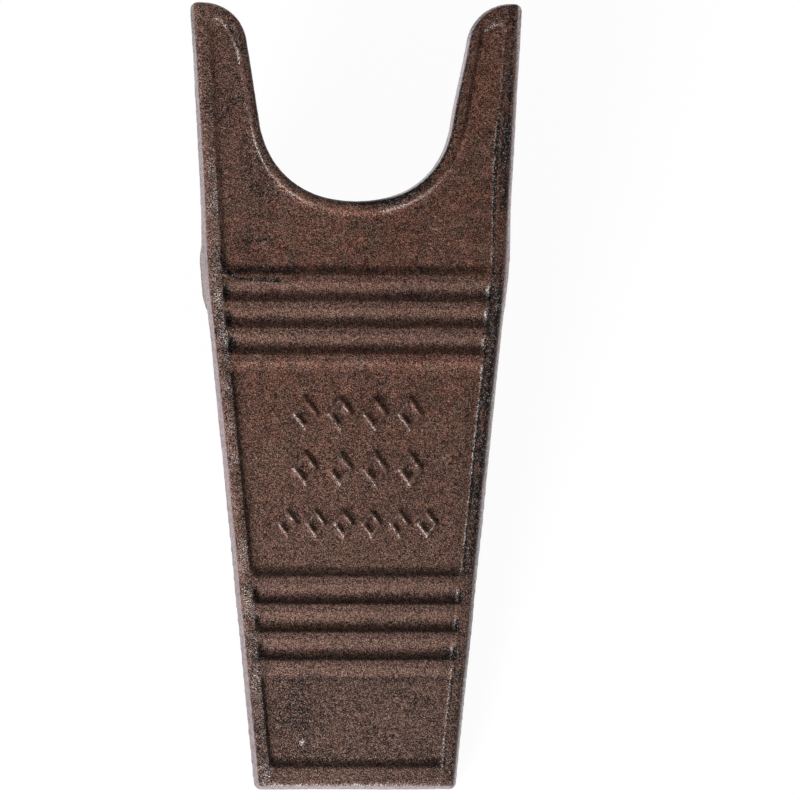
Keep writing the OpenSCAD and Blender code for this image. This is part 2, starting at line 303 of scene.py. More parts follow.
class Effect:
    """A shader node group that more than one finish can use."""

    def __init__(self, name: str, inputs: dict[str, float | Colour | None], outputs: list[str]) -> None:
        """Makes an empty group with its sockets.

        Args:
            name: Name of the group.
            inputs: First value of each input: a number, a colour, or nothing for coordinates.
            outputs: Names of the outputs. One that ends in Colour is a colour.
        """
        self.tree = bpy.data.node_groups.new(name, "ShaderNodeTree")
        for label, value in inputs.items():
            kind = "Vector" if value is None else "Color" if isinstance(value, tuple) else "Float"
            socket = self.tree.interface.new_socket(label, in_out="INPUT", socket_type=f"NodeSocket{kind}")
            if value is not None:
                socket.default_value = value
        for label in outputs:
            kind = "Color" if label.endswith("Colour") else "Float"
            self.tree.interface.new_socket(label, in_out="OUTPUT", socket_type=f"NodeSocket{kind}")
        self.wiring = Wiring(self.tree)
        self.given = self.wiring.add("NodeGroupInput").outputs
        self.end = self.wiring.add("NodeGroupOutput")

    def place(self, wiring: Wiring, **inputs: Feed) -> bpy.types.bpy_prop_collection:
        """Places the group in a material, with its inputs, and gives its outputs."""
        return wiring.add("ShaderNodeGroup", inputs, node_tree=self.tree).outputs


class CastGrain(Effect):
    """Sand-cast grain: fine height, light and dark specks, a tint of each speck, and lumps."""

    LUMP_SCALE = 0.35
    LUMP_HEIGHT = 0.6
    SPECK_SCALE = 1.7
    CLUMPING = 0.08

    def __init__(self) -> None:
        """Builds the group."""
        outputs = ["Height", "Speck", "Tint", "Lump"]
        super().__init__("cast_grain", {"Coordinates": None, "Scale": 1500.0}, outputs)
        wiring, given = self.wiring, self.given
        place, scale = given["Coordinates"], given["Scale"]
        grit = wiring.cloud(place, scale, 1.0, 0.6)
        lumps = wiring.cloud(place, wiring.times(scale, self.LUMP_SCALE))
        cells = {"Vector": place, "Scale": wiring.times(scale, self.SPECK_SCALE)}
        cell = wiring.add("ShaderNodeTexVoronoi", cells).outputs["Color"]
        speck = wiring.add("ShaderNodeSeparateColor", {"Color": cell}).outputs
        clump = wiring.ease(lumps, 0.35, 0.65, -self.CLUMPING, self.CLUMPING)
        wiring.feed(self.end, {
            "Height": wiring.total(grit, wiring.times(lumps, self.LUMP_HEIGHT)),
            "Speck": wiring.maths("ADD", speck["Red"], clump, clamp=True),
            "Tint": speck["Green"],
            "Lump": lumps,
        })


class HueDrift(Effect):
    """Slow drift of a coat between three colours, thicker and thinner from place to place."""

    APART = (0.31, 0.17, 0.53)
    THICKNESS_SCALE = 1.4
    THICKNESS = (0.68, 1.32)

    def __init__(self) -> None:
        """Builds the group."""
        grey = (0.5, 0.5, 0.5, 1.0)
        inputs = {"Coordinates": None, "Scale": 160.0, "Main": grey, "Warm": grey, "Cool": grey}
        super().__init__("hue_drift", inputs, ["Coat Colour"])
        wiring, given = self.wiring, self.given
        scale, hue = given["Scale"], given["Main"]
        here = given["Coordinates"]
        there = wiring.add("ShaderNodeVectorMath", {0: here, 1: self.APART}, operation="ADD").outputs[0]
        for place, other in ((here, given["Warm"]), (there, given["Cool"])):
            hue = wiring.blend(wiring.ease(wiring.cloud(place, scale, 3.0, 0.6), 0.46, 0.68), hue, other)
        mottle = wiring.cloud(there, wiring.times(scale, self.THICKNESS_SCALE))
        wiring.feed(self.end, {"Coat Colour": wiring.scaled(hue, wiring.spread(mottle, *self.THICKNESS))})


@dataclass(frozen=True)
class Break:
    """One size of the patches into which a cover breaks up.

    Attributes:
        scale: Waves to the metre.
        amount: How far the patches raise and lower the cover.
        detail: Octaves.
        rough: Share that each octave keeps.
    """

    scale: float
    amount: float
    detail: float = 2.0
    rough: float = 0.5


class BrokenCover(Effect):
    """A cover that breaks up into patches and specks at its edges."""

    def __init__(self, name: str, breaks: tuple[Break, ...], low: float, high: float) -> None:
        """Builds the group.

        Args:
            name: Name of the group.
            breaks: Sizes of the patches.
            low: Amount at which the cover starts.
            high: Amount at which it is full.
        """
        super().__init__(name, {"Coordinates": None, "Amount": 0.0}, ["Cover"])
        wiring = self.wiring
        amounts = [self.given["Amount"]]
        for size in breaks:
            patches = wiring.cloud(self.given["Coordinates"], size.scale, size.detail, size.rough)
            amounts.append(wiring.spread(patches, -size.amount, size.amount))
        wiring.feed(self.end, {"Cover": wiring.ease(wiring.total(*amounts), low, high)})


class Patina(BrokenCover):
    """Dark patina, and painted shade where a casting places it, in stains, patches and specks."""

    def __init__(self) -> None:
        """Builds the group."""
        breaks = Break(75.0, 0.14), Break(420.0, 0.2, 3.0, 0.6), Break(2900.0, 0.42, 1.0, 0.6)
        super().__init__("patina", breaks, 0.38, 0.72)


class EdgeWear(BrokenCover):
    """Coat that is rubbed through, and painted highlights, in dots."""

    def __init__(self) -> None:
        """Builds the group."""
        super().__init__("edge_wear", (Break(130.0, 0.18), Break(2700.0, 0.6, 0.0)), 0.75, 1.2)


@dataclass(frozen=True)
class Effects:
    """The node groups that the finishes share, built once."""

    grain: CastGrain
    drift: HueDrift
    patina: Patina
    wear: EdgeWear

    @classmethod
    def built(cls) -> "Effects":
        """Builds every group."""
        return cls(CastGrain(), HueDrift(), Patina(), EdgeWear())


def new_material(name: str) -> tuple[bpy.types.Material, Wiring, bpy.types.Node]:
    """Makes a node material with an empty Principled shader.

    Args:
        name: Name of the material.

    Returns:
        The material, its wiring and its shader node.
    """
    material = bpy.data.materials.new(name)
    material.use_nodes = True
    return material, Wiring(material.node_tree), material.node_tree.nodes["Principled BSDF"]


@dataclass(frozen=True)
class AntiqueIron:
    """Reddish brown antique coat on sand-cast iron, black where patina gathers, bare where it is rubbed, with
    painted light, shade and reflection where the casting's masks place them.

    Attributes:
        brown: Main colour of the coat.
        red: Its warm patches.
        olive: Its cool patches.
        dusty: The coat where it has faded.
        deep: How the coat is darkened in the pits of the grain.
        pale: Colour towards which the coat goes on the light grains.
        black: Patina, and painted shade where the patina mask is placed in shade.
        ash: Light specks in the patina.
        mauve: Painted reflection of the white floor on the smooth walls.
        bare_and_highlight: Rubbed edges, and painted highlights where the wear mask is placed on lit edges.
        grain: Waves of the cast grain to the metre.
        relief: Height of the grain in metres.
        lightness: How much lighter than the coat the light grains are.
        contrast: Power that makes the light grains fewer than the dark ones.
        reflection_share: Share of the painted reflection on a smooth wall.
        gathering: Patina that gathers in a full hollow.
        specular: Specular level under the gloss.
        gloss_roughness: Roughness of the gloss on the smooth walls.
        gloss_ior: Index of refraction of that gloss.
        sheen: Weight of the dusty sheen.
        sheen_roughness: Roughness of the sheen.
        sheen_tint: Colour of the sheen.
    """

    brown: Colour = (0.131, 0.056, 0.038, 1.0)
    red: Colour = (0.141, 0.055, 0.035, 1.0)
    olive: Colour = (0.118, 0.065, 0.045, 1.0)
    dusty: Colour = (0.136, 0.080, 0.063, 1.0)
    deep: Colour = (0.16, 0.12, 0.105, 1.0)
    pale: Colour = (0.143, 0.094, 0.077, 1.0)
    black: Colour = (0.005, 0.0045, 0.0045, 1.0)
    ash: Colour = (0.300, 0.280, 0.270, 1.0)
    mauve: Colour = (0.152, 0.100, 0.110, 1.0)
    bare_and_highlight: Colour = (0.52, 0.48, 0.46, 1.0)
    grain: float = 2300.0
    relief: float = 0.00055
    lightness: float = 2.5
    contrast: float = 1.9
    reflection_share: float = 0.85
    gathering: float = 0.55
    specular: float = 0.08
    gloss_roughness: float = 0.28
    gloss_ior: float = 1.6
    sheen: float = 0.03
    sheen_roughness: float = 0.35
    sheen_tint: Colour = (0.86, 0.76, 0.84, 1.0)

    def material(self, effects: Effects) -> bpy.types.Material:
        """Builds the material.

        Args:
            effects: The shared node groups.

        Returns:
            The material.
        """
        material, wiring, shader = new_material("antique_cast_iron")
        place = wiring.add("ShaderNodeTexCoord").outputs["Object"]
        mask = {m: wiring.add("ShaderNodeAttribute", attribute_name=m.value).outputs["Fac"] for m in Mask}
        grain = effects.grain.place(wiring, Coordinates=place, Scale=self.grain)
        speck = grain["Speck"]
        ragged = wiring.total(mask[Mask.SLEEK_AND_REFLECTION], wiring.ease(speck, 0.0, 1.0, -0.35, 0.35))
        sleek_and_reflection = wiring.ease(ragged, 0.3, 0.8)
        hues = {"Main": self.brown, "Warm": self.red, "Cool": self.olive}
        drift = effects.drift.place(wiring, Coordinates=place, **hues)["Coat Colour"]
        coat = wiring.blend(mask[Mask.FADED], drift, self.dusty)
        tinted = wiring.blend(wiring.ease(grain["Tint"], 0.3, 1.0, 0.0, 0.8), coat, self.pale)
        pits = wiring.blend(1.0, coat, self.deep, "MULTIPLY")
        lit = wiring.scaled(tinted, self.lightness)
        grained = wiring.blend(wiring.maths("POWER", speck, self.contrast), pits, lit)
        # Painted reflection of the white floor on the smooth walls, in mauve
        with_reflection = wiring.blend(wiring.times(sleek_and_reflection, self.reflection_share), grained, self.mauve)
        # Painted light and shade, with the coat's tone, as a factor from the casting's mask
        skin = wiring.scaled(with_reflection, mask[Mask.TONE_AND_PAINTED_LIGHT])
        # Patina, which the casting also places as painted shade
        amount = wiring.total(mask[Mask.PATINA_AND_SHADE], wiring.times(mask[Mask.HOLLOW], self.gathering))
        cover = effects.patina.place(wiring, Coordinates=place, Amount=amount)["Cover"]
        patina_and_shade = wiring.blend(wiring.ease(speck, 0.86, 1.0), self.black, self.ash)
        # Wear, which the casting also places as painted highlights
        rubbed_and_lit = effects.wear.place(wiring, Coordinates=place, Amount=mask[Mask.WEAR_AND_HIGHLIGHT])["Cover"]
        rough = wiring.ease(speck, 0.0, 1.0, 0.6, 0.44)
        height = wiring.times(grain["Height"], wiring.ease(sleek_and_reflection, 0.0, 1.0, 1.0, 0.7))
        relief = {"Height": height, "Strength": 1.0, "Distance": self.relief}
        wiring.feed(shader, {
            "Base Color": wiring.blend(rubbed_and_lit, wiring.blend(cover, skin, patina_and_shade), self.bare_and_highlight),
            "Metallic": wiring.times(rubbed_and_lit, 0.5),
            "Roughness": wiring.maths("SUBTRACT", rough, wiring.times(sleek_and_reflection, 0.2)),
            "Normal": wiring.add("ShaderNodeBump", relief).outputs[0],
            "Specular IOR Level": self.specular,
            "Coat Weight": wiring.times(sleek_and_reflection, wiring.spread(grain["Lump"], 0.15, 0.85)),
            "Coat Roughness": self.gloss_roughness,
            "Coat IOR": self.gloss_ior,
            "Sheen Weight": self.sheen,
            "Sheen Roughness": self.sheen_roughness,
            "Sheen Tint": self.sheen_tint,
        })
        return material


@dataclass(frozen=True)
class ZincPlate:
    """Dull zinc plate on steel.

    Attributes:
        light: Clean plate.
        warm: Yellowed plate.
        dull: Stained plate.
        stains: Waves of its stains to the metre.
        grain: Waves of its grain to the metre.
        relief: Height of the grain in metres.
    """

    light: Colour = (0.42, 0.42, 0.40, 1.0)
    warm: Colour = (0.40, 0.36, 0.28, 1.0)
    dull: Colour = (0.22, 0.22, 0.21, 1.0)
    stains: float = 700.0
    grain: float = 2600.0
    relief: float = 0.0001

    def material(self, effects: Effects) -> bpy.types.Material:
        """Builds the material.

        Args:
            effects: The shared node groups.

        Returns:
            The material.
        """
        material, wiring, shader = new_material("zinc_plated_steel")
        place = wiring.add("ShaderNodeTexCoord").outputs["Object"]
        hues = {"Main": self.light, "Warm": self.warm, "Cool": self.dull}
        coat = effects.drift.place(wiring, Coordinates=place, Scale=self.stains, **hues)
        grain = effects.grain.place(wiring, Coordinates=place, Scale=self.grain)
        relief = {"Height": grain["Height"], "Strength": 0.3, "Distance": self.relief}
        wiring.feed(shader, {
            "Base Color": coat["Coat Colour"],
            "Roughness": wiring.ease(grain["Speck"], 0.0, 1.0, 0.36, 0.52),
            "Metallic": 1.0,
            "Normal": wiring.add("ShaderNodeBump", relief).outputs[0],
        })
        return material


def as_mesh(shape: bmesh.types.BMesh, name: str) -> bpy.types.Mesh:
    """Turns a shape into a mesh.

    Args:
        shape: The shape, which is freed.
        name: Name of the mesh.

    Returns:
        The mesh.
    """
    mesh = bpy.data.meshes.new(name)
    shape.to_mesh(mesh)
    shape.free()
    return mesh


def add_object(name: str, data: bpy.types.ID) -> bpy.types.Object:
    """Adds an object to the scene.

    Args:
        name: Name of the object.
        data: Its mesh, lamp or camera.

    Returns:
        The object.
    """
    made = bpy.data.objects.new(name, data)
    bpy.context.scene.collection.objects.link(made)
    return made


def finished_mesh(
    mesh: bpy.types.Mesh, kind: str, free: list[int] | None = None, **settings: object
) -> bpy.types.Mesh:
    """Mesh as a modifier leaves it.

    Args:
        mesh: The mesh, which is removed.
        kind: Blender's name of the modifier type.
        free: Points in the group "free", which the modifier may use.
        **settings: Properties of the modifier.

    Returns:
        The new mesh.
    """
    helper = add_object("helper", mesh)
    if free:
        helper.vertex_groups.new(name="free").add(free, 1.0, "REPLACE")
    modifier = helper.modifiers.new(kind.lower(), kind)
    for name, value in settings.items():
        setattr(modifier, name, value)
    graph = bpy.context.evaluated_depsgraph_get()
    made = bpy.data.meshes.new_from_object(helper.evaluated_get(graph))
    bpy.data.objects.remove(helper)
    bpy.data.meshes.remove(mesh)
    return made


@dataclass
class Casting:
    """A solid remade as a sand casting: soft edges, an uneven skin and masks for its finish and its painted
    light and shade.

    The masks are worked out for points in the lying plate's frame, in metres, with their normals.

    Attributes:
        node: CAD node that it stands for.
        stance: How the part stands.
        voxel: Spacing of the points of its skin.
        softening: Rounds of smoothing that take the sharpness off its edges.
        gathering: Rounds of smoothing that find its hollows and edges.
        depth: Depth of a corner that counts as a full hollow. Half of it is a full edge.
        triangles: Most triangles that it keeps.
        thinning: Share of its underside's triangles that goes first.
        clearance: Height of its lowest points over the floor.
    """

    node: str
    stance: Stance = Stance()
    voxel: float = 0.5 * MM
    softening: int = 3
    gathering: int = 10
    depth: float = 0.25 * MM
    triangles: int = 190_000
    thinning: float = 0.75
    clearance: float = 0.02 * MM

    # Waves to the metre and height of each size of unevenness, and how far all of it is sunk
    WAVES = ((45.0, 0.16 * MM), (260.0, 0.06 * MM), (900.0, 0.05 * MM))
    SINKING = 0.3
    UNDERSIDE = -0.3

    def patina_and_shade(self, points: np.ndarray) -> np.ndarray:
        """Amount of patina and painted shade that is placed on the casting."""
        return np.full(len(points), 0.1)

    def wear_and_highlight(self, points: np.ndarray, normals: np.ndarray, edges: np.ndarray) -> np.ndarray:
        """How far the coat is rubbed off, given how far each point stands out on an edge."""
        return 0.4 * edges

    def faded(self, points: np.ndarray) -> np.ndarray:
        """Share of the coat that has faded."""
        return np.full(len(points), 0.3)

    def tone_and_painted_light(self, points: np.ndarray) -> np.ndarray:
        """How light the coat is painted, for its tone and for painted light and shade, as a factor of its
        written colour.
        """
        return np.ones(len(points))

    def sleek_and_reflection(self, points: np.ndarray, normals: np.ndarray) -> np.ndarray:
        """How far the skin is smooth, as on walls that slid out of the mould; on those walls it also lays the
        painted reflection.
        """
        return fall(np.abs(normals[:, 2]), 0.3, 0.75)

    def shifted(self, points: np.ndarray) -> np.ndarray:
        """How far the mould had shifted across, in metres."""
        return np.zeros(len(points))

    def skin(self) -> bmesh.types.BMesh:
        """Makes the casting's skin.

        Returns:
            An even mesh with soft edges, in the lying plate's frame.
        """
        shape = bmesh.new()
        shape.from_mesh(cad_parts[self.node].data)
        bmesh.ops.remove_doubles(shape, verts=shape.verts, dist=MERGE)
        bmesh.ops.transform(shape, matrix=self.stance.to_plate(), verts=shape.verts)
        mesh = as_mesh(shape, self.node)
        mesh = finished_mesh(mesh, "REMESH", mode="VOXEL", voxel_size=self.voxel)
        shape = bmesh.new()
        shape.from_mesh(mesh)
        bpy.data.meshes.remove(mesh)
        self.smooth(shape, self.softening)
        return shape

    @staticmethod
    def smooth(shape: bmesh.types.BMesh, rounds: int) -> None:
        """Smooths a shape.

        Args:
            shape: The shape.
            rounds: Number of rounds.
        """
        for _ in range(rounds):
            bmesh.ops.smooth_vert(
                shape, verts=shape.verts, factor=0.5, use_axis_x=True, use_axis_y=True, use_axis_z=True
            )
        shape.normal_update()

    def uneven(self, point: Vector) -> float:
        """Height of the casting's unevenness at a point, in metres."""
        return sum(height * (noise.noise(point * waves) - self.SINKING) for waves, height in self.WAVES)

    def build(self) -> bpy.types.Object:
        """Builds the casting.

        Returns:
            The finished object.
        """
        shape = self.skin()
        points = np.array([v.co for v in shape.verts])
        normals = np.array([v.normal for v in shape.verts])
        relaxed = shape.copy()
        self.smooth(relaxed, self.gathering)
        sunk = ((np.array([v.co for v in relaxed.verts]) - points) * normals).sum(1) / self.depth
        relaxed.free()
        for vert, shift in zip(shape.verts, self.shifted(points)):
            vert.co += vert.normal * self.uneven(vert.co)
            vert.co.x += shift
        mesh = as_mesh(shape, self.node)
        values = {
            Mask.HOLLOW: np.clip(sunk, 0.0, 1.0),
            Mask.WEAR_AND_HIGHLIGHT: self.wear_and_highlight(points, normals, np.clip(-2.0 * sunk, 0.0, 1.0)),
            Mask.PATINA_AND_SHADE: np.clip(self.patina_and_shade(points), 0.0, 1.0),
            Mask.SLEEK_AND_REFLECTION: self.sleek_and_reflection(points, normals),
            Mask.FADED: self.faded(points),
            Mask.TONE_AND_PAINTED_LIGHT: self.tone_and_painted_light(points),
        }
        for mask, amounts in values.items():
            layer = mesh.attributes.new(mask.value, "FLOAT", "POINT")
            layer.data.foreach_set("value", amounts.astype(np.float32))
        if 2 * len(mesh.polygons) > self.triangles:
            mesh = self.thinned(mesh, np.flatnonzero(normals[:, 2] < self.UNDERSIDE).tolist())
        mesh.transform(self.stance.to_row())
        self.grind(mesh)
        mesh.shade_smooth()
        piece = add_object(f"cast_{self.node}", mesh)
        piece.vertex_groups.clear()
        return piece

    def thinned(self, mesh: bpy.types.Mesh, under: list[int]) -> bpy.types.Mesh:
        """Mesh with the triangles that it may keep, thinned first on its underside.

        Args:
            mesh: The mesh, which is removed.
            under: Points of its underside.

        Returns:
            The new mesh.
        """
        ratio = 1.0 - self.thinning * len(under) / len(mesh.vertices)
        only_free = {"vertex_group": "free", "vertex_group_factor": 1.0}
        mesh = finished_mesh(mesh, "DECIMATE", under, ratio=ratio, **only_free)
        mesh.calc_loop_triangles()
        return finished_mesh(mesh, "DECIMATE", ratio=self.triangles / len(mesh.loop_triangles))

    def grind(self, mesh: bpy.types.Mesh) -> None:
        """Grinds a mesh flat where it stands on the floor.

        Args:
            mesh: The mesh, in the standing part's frame.
        """
        places = np.empty(3 * len(mesh.vertices))
        mesh.vertices.foreach_get("co", places)
        places[2::3] = np.maximum(places[2::3], self.clearance)
        mesh.vertices.foreach_set("co", places)

    def dress(self, piece: bpy.types.Object, material: bpy.types.Material) -> None:
        """Gives the casting its finish and its place in the frame.

        Args:
            piece: The finished object.
            material: Its finish.
        """
        piece.data.materials.clear()
        piece.data.materials.append(material)
        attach(piece, BODY)
        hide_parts(self.node)


@dataclass
class JackPlate(Casting):
    """The plate with its heel fork, sunk panels and grooves.

    Its marks are placed in millimetres, across from the middle, along from the tail and up from the rim.

    Attributes:
        outline: Outline of the plate.
    """

    node: str = "jack_plate"
    outline: Outline = Outline()

    # Strokes: a dark line round the fork panel's left corner, and painted highlights and painted shade at the
    # tips
    CORNER = [(-49.0, 191.5), (-48.2, 186.8), (-46.9, 184.2), (-44.0, 182.6), (-38.3, 181.4), (-28.0, 181.0)]
    LEFT_ARC = [
        (-51.7, 273.9), (-49.0, 273.2), (-47.2, 270.9), (-44.9, 267.0), (-43.1, 262.5), (-42.4, 258.0)
    ]
    LEFT_TIP = [(-50.0, 276.6), (-46.3, 273.4), (-43.4, 268.8), (-41.8, 264.0)]
    RIGHT_ARC = [(45.1, 269.8), (47.3, 271.2), (49.6, 272.3), (51.4, 272.0)]
    # Feet of the slopes that face away, in the grooves and at the near ends of the panels
    TAIL_FEET = (47.0, 56.9, 66.9)
    FORK_FEET = (156.3, 165.7, 175.0)
    PANEL_FEET = (9.2, 76.7)
    # Bounds between which each of these fades in or out
    MIDDLE = (-2.0, 2.0)
    UPPER_FACE = (-2.6, -1.2)
    PANELS = (-4.5, -3.5)
    OUTER_WALL = (1.8, 2.6)
    FORK_WALL = (0.6, 1.4)
    TIPS = (262.0, 272.0)

    def lay(self, points: np.ndarray) -> tuple[np.ndarray, ...]:
        """Where points lie on the plate.

        Args:
            points: The points.

        Returns:
            Places across, along and up, distances from the nearer long side and from the fork, and
            shares of the right half, of the left half and of the upper face.
        """
        x, y, z = points.T / MM
        gaps = self.outline.side_gap(x, y), self.outline.fork_gap(x, y)
        right = step(x, *self.MIDDLE)
        return x, y, z, *gaps, right, 1.0 - right, step(z, *self.UPPER_FACE)

    @staticmethod
    def right_line(side: np.ndarray, y: np.ndarray) -> np.ndarray:
        """How far points lie inside the dark line along the panels' right walls."""
        return side - np.interp(y, [190.0, 205.0, 232.0, 248.0], [6.2, 6.9, 7.5, 6.3])

    @staticmethod
    def groove_bands(y: np.ndarray) -> np.ndarray:
        """Where the two bands of grooves lie along the plate, from 0 to 1."""
        return np.maximum(band(y, 45.5, 74.5, 1.2), band(y, 154.0, 181.5, 1.2))

    def hooks(self, y: np.ndarray) -> np.ndarray:
        """Where the near slopes of the grooves lie along the plate, from 0 to 1."""
        feet = self.TAIL_FEET + self.FORK_FEET
        return np.max([band(y, foot - 0.2, foot + 4.4, 0.5) for foot in feet], axis=0)

    def tone_and_painted_light(self, points: np.ndarray) -> np.ndarray:
        """Painted light and shade on the coat: painted reflection on the walls, painted light on the left rim,
        a light line and a darker rim round the fork, and painted shade in lines across the plate.

        Args:
            points: The points.

        Returns:
            Factor of the coat's written colour at each point.
        """
        x, y, z, side, fork, right, left, top = self.lay(points)
        sides = top * fall(y, 150.0, 160.0)
        spared = np.maximum(0.75 * right * step(y, 214.0, 232.0), 0.7 * band(x, -14.0, 5.0, 5.0))
        near_end = (0.3 + 0.35 * fall(x, -30.0, -14.0)) * step(side, 7.5, 12.0)
        changes = [
            # Painted shade on the right half, and the light line and the darker rim round the fork
            -0.06 * right * top,
            0.7 * step(fork, 3.7, 4.2) * fall(fork, 4.4, 7.0) * fall(y, 228.0, 246.0),
            -0.32 * band(fork, 0.6, 3.6, 0.4) * top * (1.0 - spared),
            # Painted light on the left rim, which faces the lamp, and on the valley inside it
            (0.2 + 0.3 * step(y, 30.0, 60.0)) * fall(side, 2.6, 5.0) * left * top,
            0.35 * band(side, 5.4, 8.0, 0.9) * left * step(y, 205.0, 232.0),
            # Painted shade on the right rim, and darker edges of the tail panel and the middle panel
            -0.25 * band(side, 3.6, 6.4, 0.4) * right * top,
            -0.25 * band(side, 8.2, 10.4, 0.9) * right * sides,
            -0.2 * band(side, 7.0, 9.6, 0.9) * left * sides,
            # A dark line at the far end of the tail panel, a painted highlight at the far end of the middle
            # panel, and painted shade at the near end of the fork panel
            -0.3 * hump(y, 39.7, 0.8) * step(side, 7.0, 9.0),
            0.3 * hump(y, 151.4, 0.8) * step(side, 6.0, 8.0),
            -near_end * hump(y, 184.6, 1.4),
        ]
        # Painted shade at the feet of the slopes that face away from the lamp
        for foot in self.PANEL_FEET + self.TAIL_FEET:
            changes.append(-0.7 * hump(y, foot, np.where(y < foot, 0.8, 1.6)) * step(side, 5.6, 7.0))
        tone_and_painted_light = 1.0 + (np.prod(1.0 + np.array(changes), axis=0) - 1.0) * step(z, *self.PANELS)
        # Painted reflection of the white floor on the side walls and on the fork's wall
        along = [60.0, 90.0, 155.0, 170.0, 205.0, 225.0]
        right_wall = np.interp(y, along, [-0.15, 0.3, 0.35, 0.9, 0.9, 0.35])
        left_wall = np.interp(y, [60.0, 110.0, 205.0, 225.0], [0.0, 0.35, 0.4, 0.1])
        walls = fall(side, *self.OUTER_WALL) * np.where(x > 0.0, right_wall, left_wall)
        walls = np.maximum(walls, 1.6 * fall(fork, *self.FORK_WALL) * step(x, 6.0, 16.0))
        return tone_and_painted_light * (1.0 + walls * (1.0 - top))

    def patina_and_shade(self, points: np.ndarray) -> np.ndarray:
        """Patina on the rims, round the fork, on the left prong and on the tail, and painted shade at the
        tips, on the panels' left walls, at the groove ends and at the fork's bottom.

        Args:
            points: The points.

        Returns:
            Amount of patina and painted shade at each point.
        """
        x, y, z, side, fork, right, left, top = self.lay(points)
        grooves = self.groove_bands(y)
        line = self.right_line(side, y)
        along = [6.0, 10.0, 42.0, 50.0, 74.0, 86.0, 182.0, 190.0, 204.0, 210.0, 236.0, 246.0, 262.0]
        rim = np.interp(y, along, [0.1, 0.1, 0.1, 0.1, 0.3, 0.46, 0.4, 0.05, 0.05, 0.5, 0.5, 0.25, 0.25])
        edge = np.interp(y, along, [0.6, 0.6, 0.6, 0.25, 0.5, 0.95, 0.95, 0.3, 0.3, 1.0, 1.0, 1.0, 0.8])
        dotted = np.interp(y, along, [0.0, 0.6, 0.6, 0.1, 0.4, 1.0, 0.85, 0.85, 0.75, 1.0, 1.0, 0.8, 0.5])
        left_rim = 0.3 + 0.16 * np.maximum(grooves, y < 44.0)
        left_wall = step(y, 5.0, 9.0) * np.interp(y, [42.0, 50.0, 215.0, 250.0], [0.6, 0.36, 0.36, 0.0])
        placed = [
            # Rims and their outer edges, and the rim's edge along the fork
            band(side, 1.3, 6.2, 0.5) * top * (left_rim * left + rim * right),
            band(side, 2.2, 3.7, 0.4) * top * (0.3 * left + edge * right),
            fall(fork, 0.9, 2.0) * top * (0.6 * left + right),
            band(fork, 1.4, 3.0, 0.5) * band(x, 6.0, 26.0, 4.0) * top * 0.62,
            # Tips, in painted shade
            step(y, 266.0, 276.0) * step(z, -1.4, -0.6) * 0.25,
            stroke(x, y, self.LEFT_TIP, 1.0, 2.6) * top * 0.5,
            # Walls of the panels: a dark line along the right walls, and painted shade at the right ends of
            # the grooves' near slopes and on the left walls
            band(line, -0.55, 0.45, 0.3) * right * top * dotted,
            self.hooks(y) * band(side, 5.4, 6.8, 0.3) * right * 0.75,
            band(side, 5.2, 6.6, 0.4) * left * top * left_wall,
            # Painted shade at the left ends of the grooves
            grooves * band(side, 5.0, 8.0, 1.2) * left * step(-z, -0.2, 0.8) * np.where(y < 100.0, 0.45, 0.6),
            # Painted shade at the near end of the fork panel, with a line round its left corner
            band(y, 183.2, 186.2, 1.0) * step(side, 8.0, 12.0) * (0.2 + 0.28 * fall(x, -30.0, -8.0)),
            stroke(x, y, self.CORNER, 0.35, 1.0) * 0.95,
            # Stains and a streak on the left prong
            hump(x, -38.0, 10.0) * hump(y, 220.0, 27.0) * 0.4,
            hump(x, -45.0, 4.5) * hump(y, 243.0, 13.0) * 0.38,
            hump(y - 0.09 * (x + 35.0), 195.5, 0.8) * band(x, -42.0, -29.0, 2.5) * 0.85,
            # Spots on the tail panel
            band(y, 10.0, 42.0, 3.0) * step(side, 7.0, 12.0) * (0.27 + 0.14 * fall(x, -24.0, -4.0)),
        ]
        # Painted shade on the fork's wall at its bottom
        walls = fall(fork, *self.FORK_WALL) * band(x, -26.0, 10.0, 6.0) * 0.9
        return np.maximum(walls, np.max(placed, axis=0) * step(z, *self.PANELS))

    def shifted(self, points: np.ndarray) -> np.ndarray:
        """The upper edges and the fork sit a little to the left, most at the right fork tip.

        Args:
            points: The points.

        Returns:
            Shift of each point along x, in metres.
        """
        x, y, z, side, fork, *_ = self.lay(points)
        along = [10.0, 60.0, 130.0, 165.0, 200.0, 230.0, 255.0, 275.0]
        right_side = np.interp(y, along, [0.3, 0.6, 0.8, 0.35, 0.6, 0.7, 1.0, 1.3])
        left_side = np.interp(y, [150.0, 172.0, 200.0, 215.0], [0.4, 0.75, 0.75, 0.5])
        upper = np.clip(1.0 + z / 10.0, 0.0, 1.0)
        sides = np.where(x > 0.0, right_side, left_side) * fall(side, 2.6, 5.2) * upper
        right_prong = np.interp(y, [209.0, 218.0, 235.0], [0.35, 0.7, 0.8])
        left_prong = np.interp(y, [215.0, 235.0], [0.0, 0.45])
        walls = np.where(x > 0.0, right_prong, left_prong) * fall(fork, 0.8, 4.0) * fall(y, 240.0, 266.0)
        return -MM * np.maximum(sides, walls)

    def faded(self, points: np.ndarray) -> np.ndarray:
        """The coat has faded towards the tail, on the left rim and prong and between the far grooves.

        Args:
            points: The points.

        Returns:
            Share of faded coat at each point.
        """
        x, y, _, side, _, _, left, _ = self.lay(points)
        rim = fall(side, 5.0, 7.0) * left
        prong = step(y, 185.0, 215.0) * fall(x, -30.0, 5.0)
        lands = band(y, 156.0, 182.0, 3.0)
        return np.max([fall(y, 20.0, 190.0), 0.7 * rim, 0.45 * prong, 0.6 * lands], axis=0)

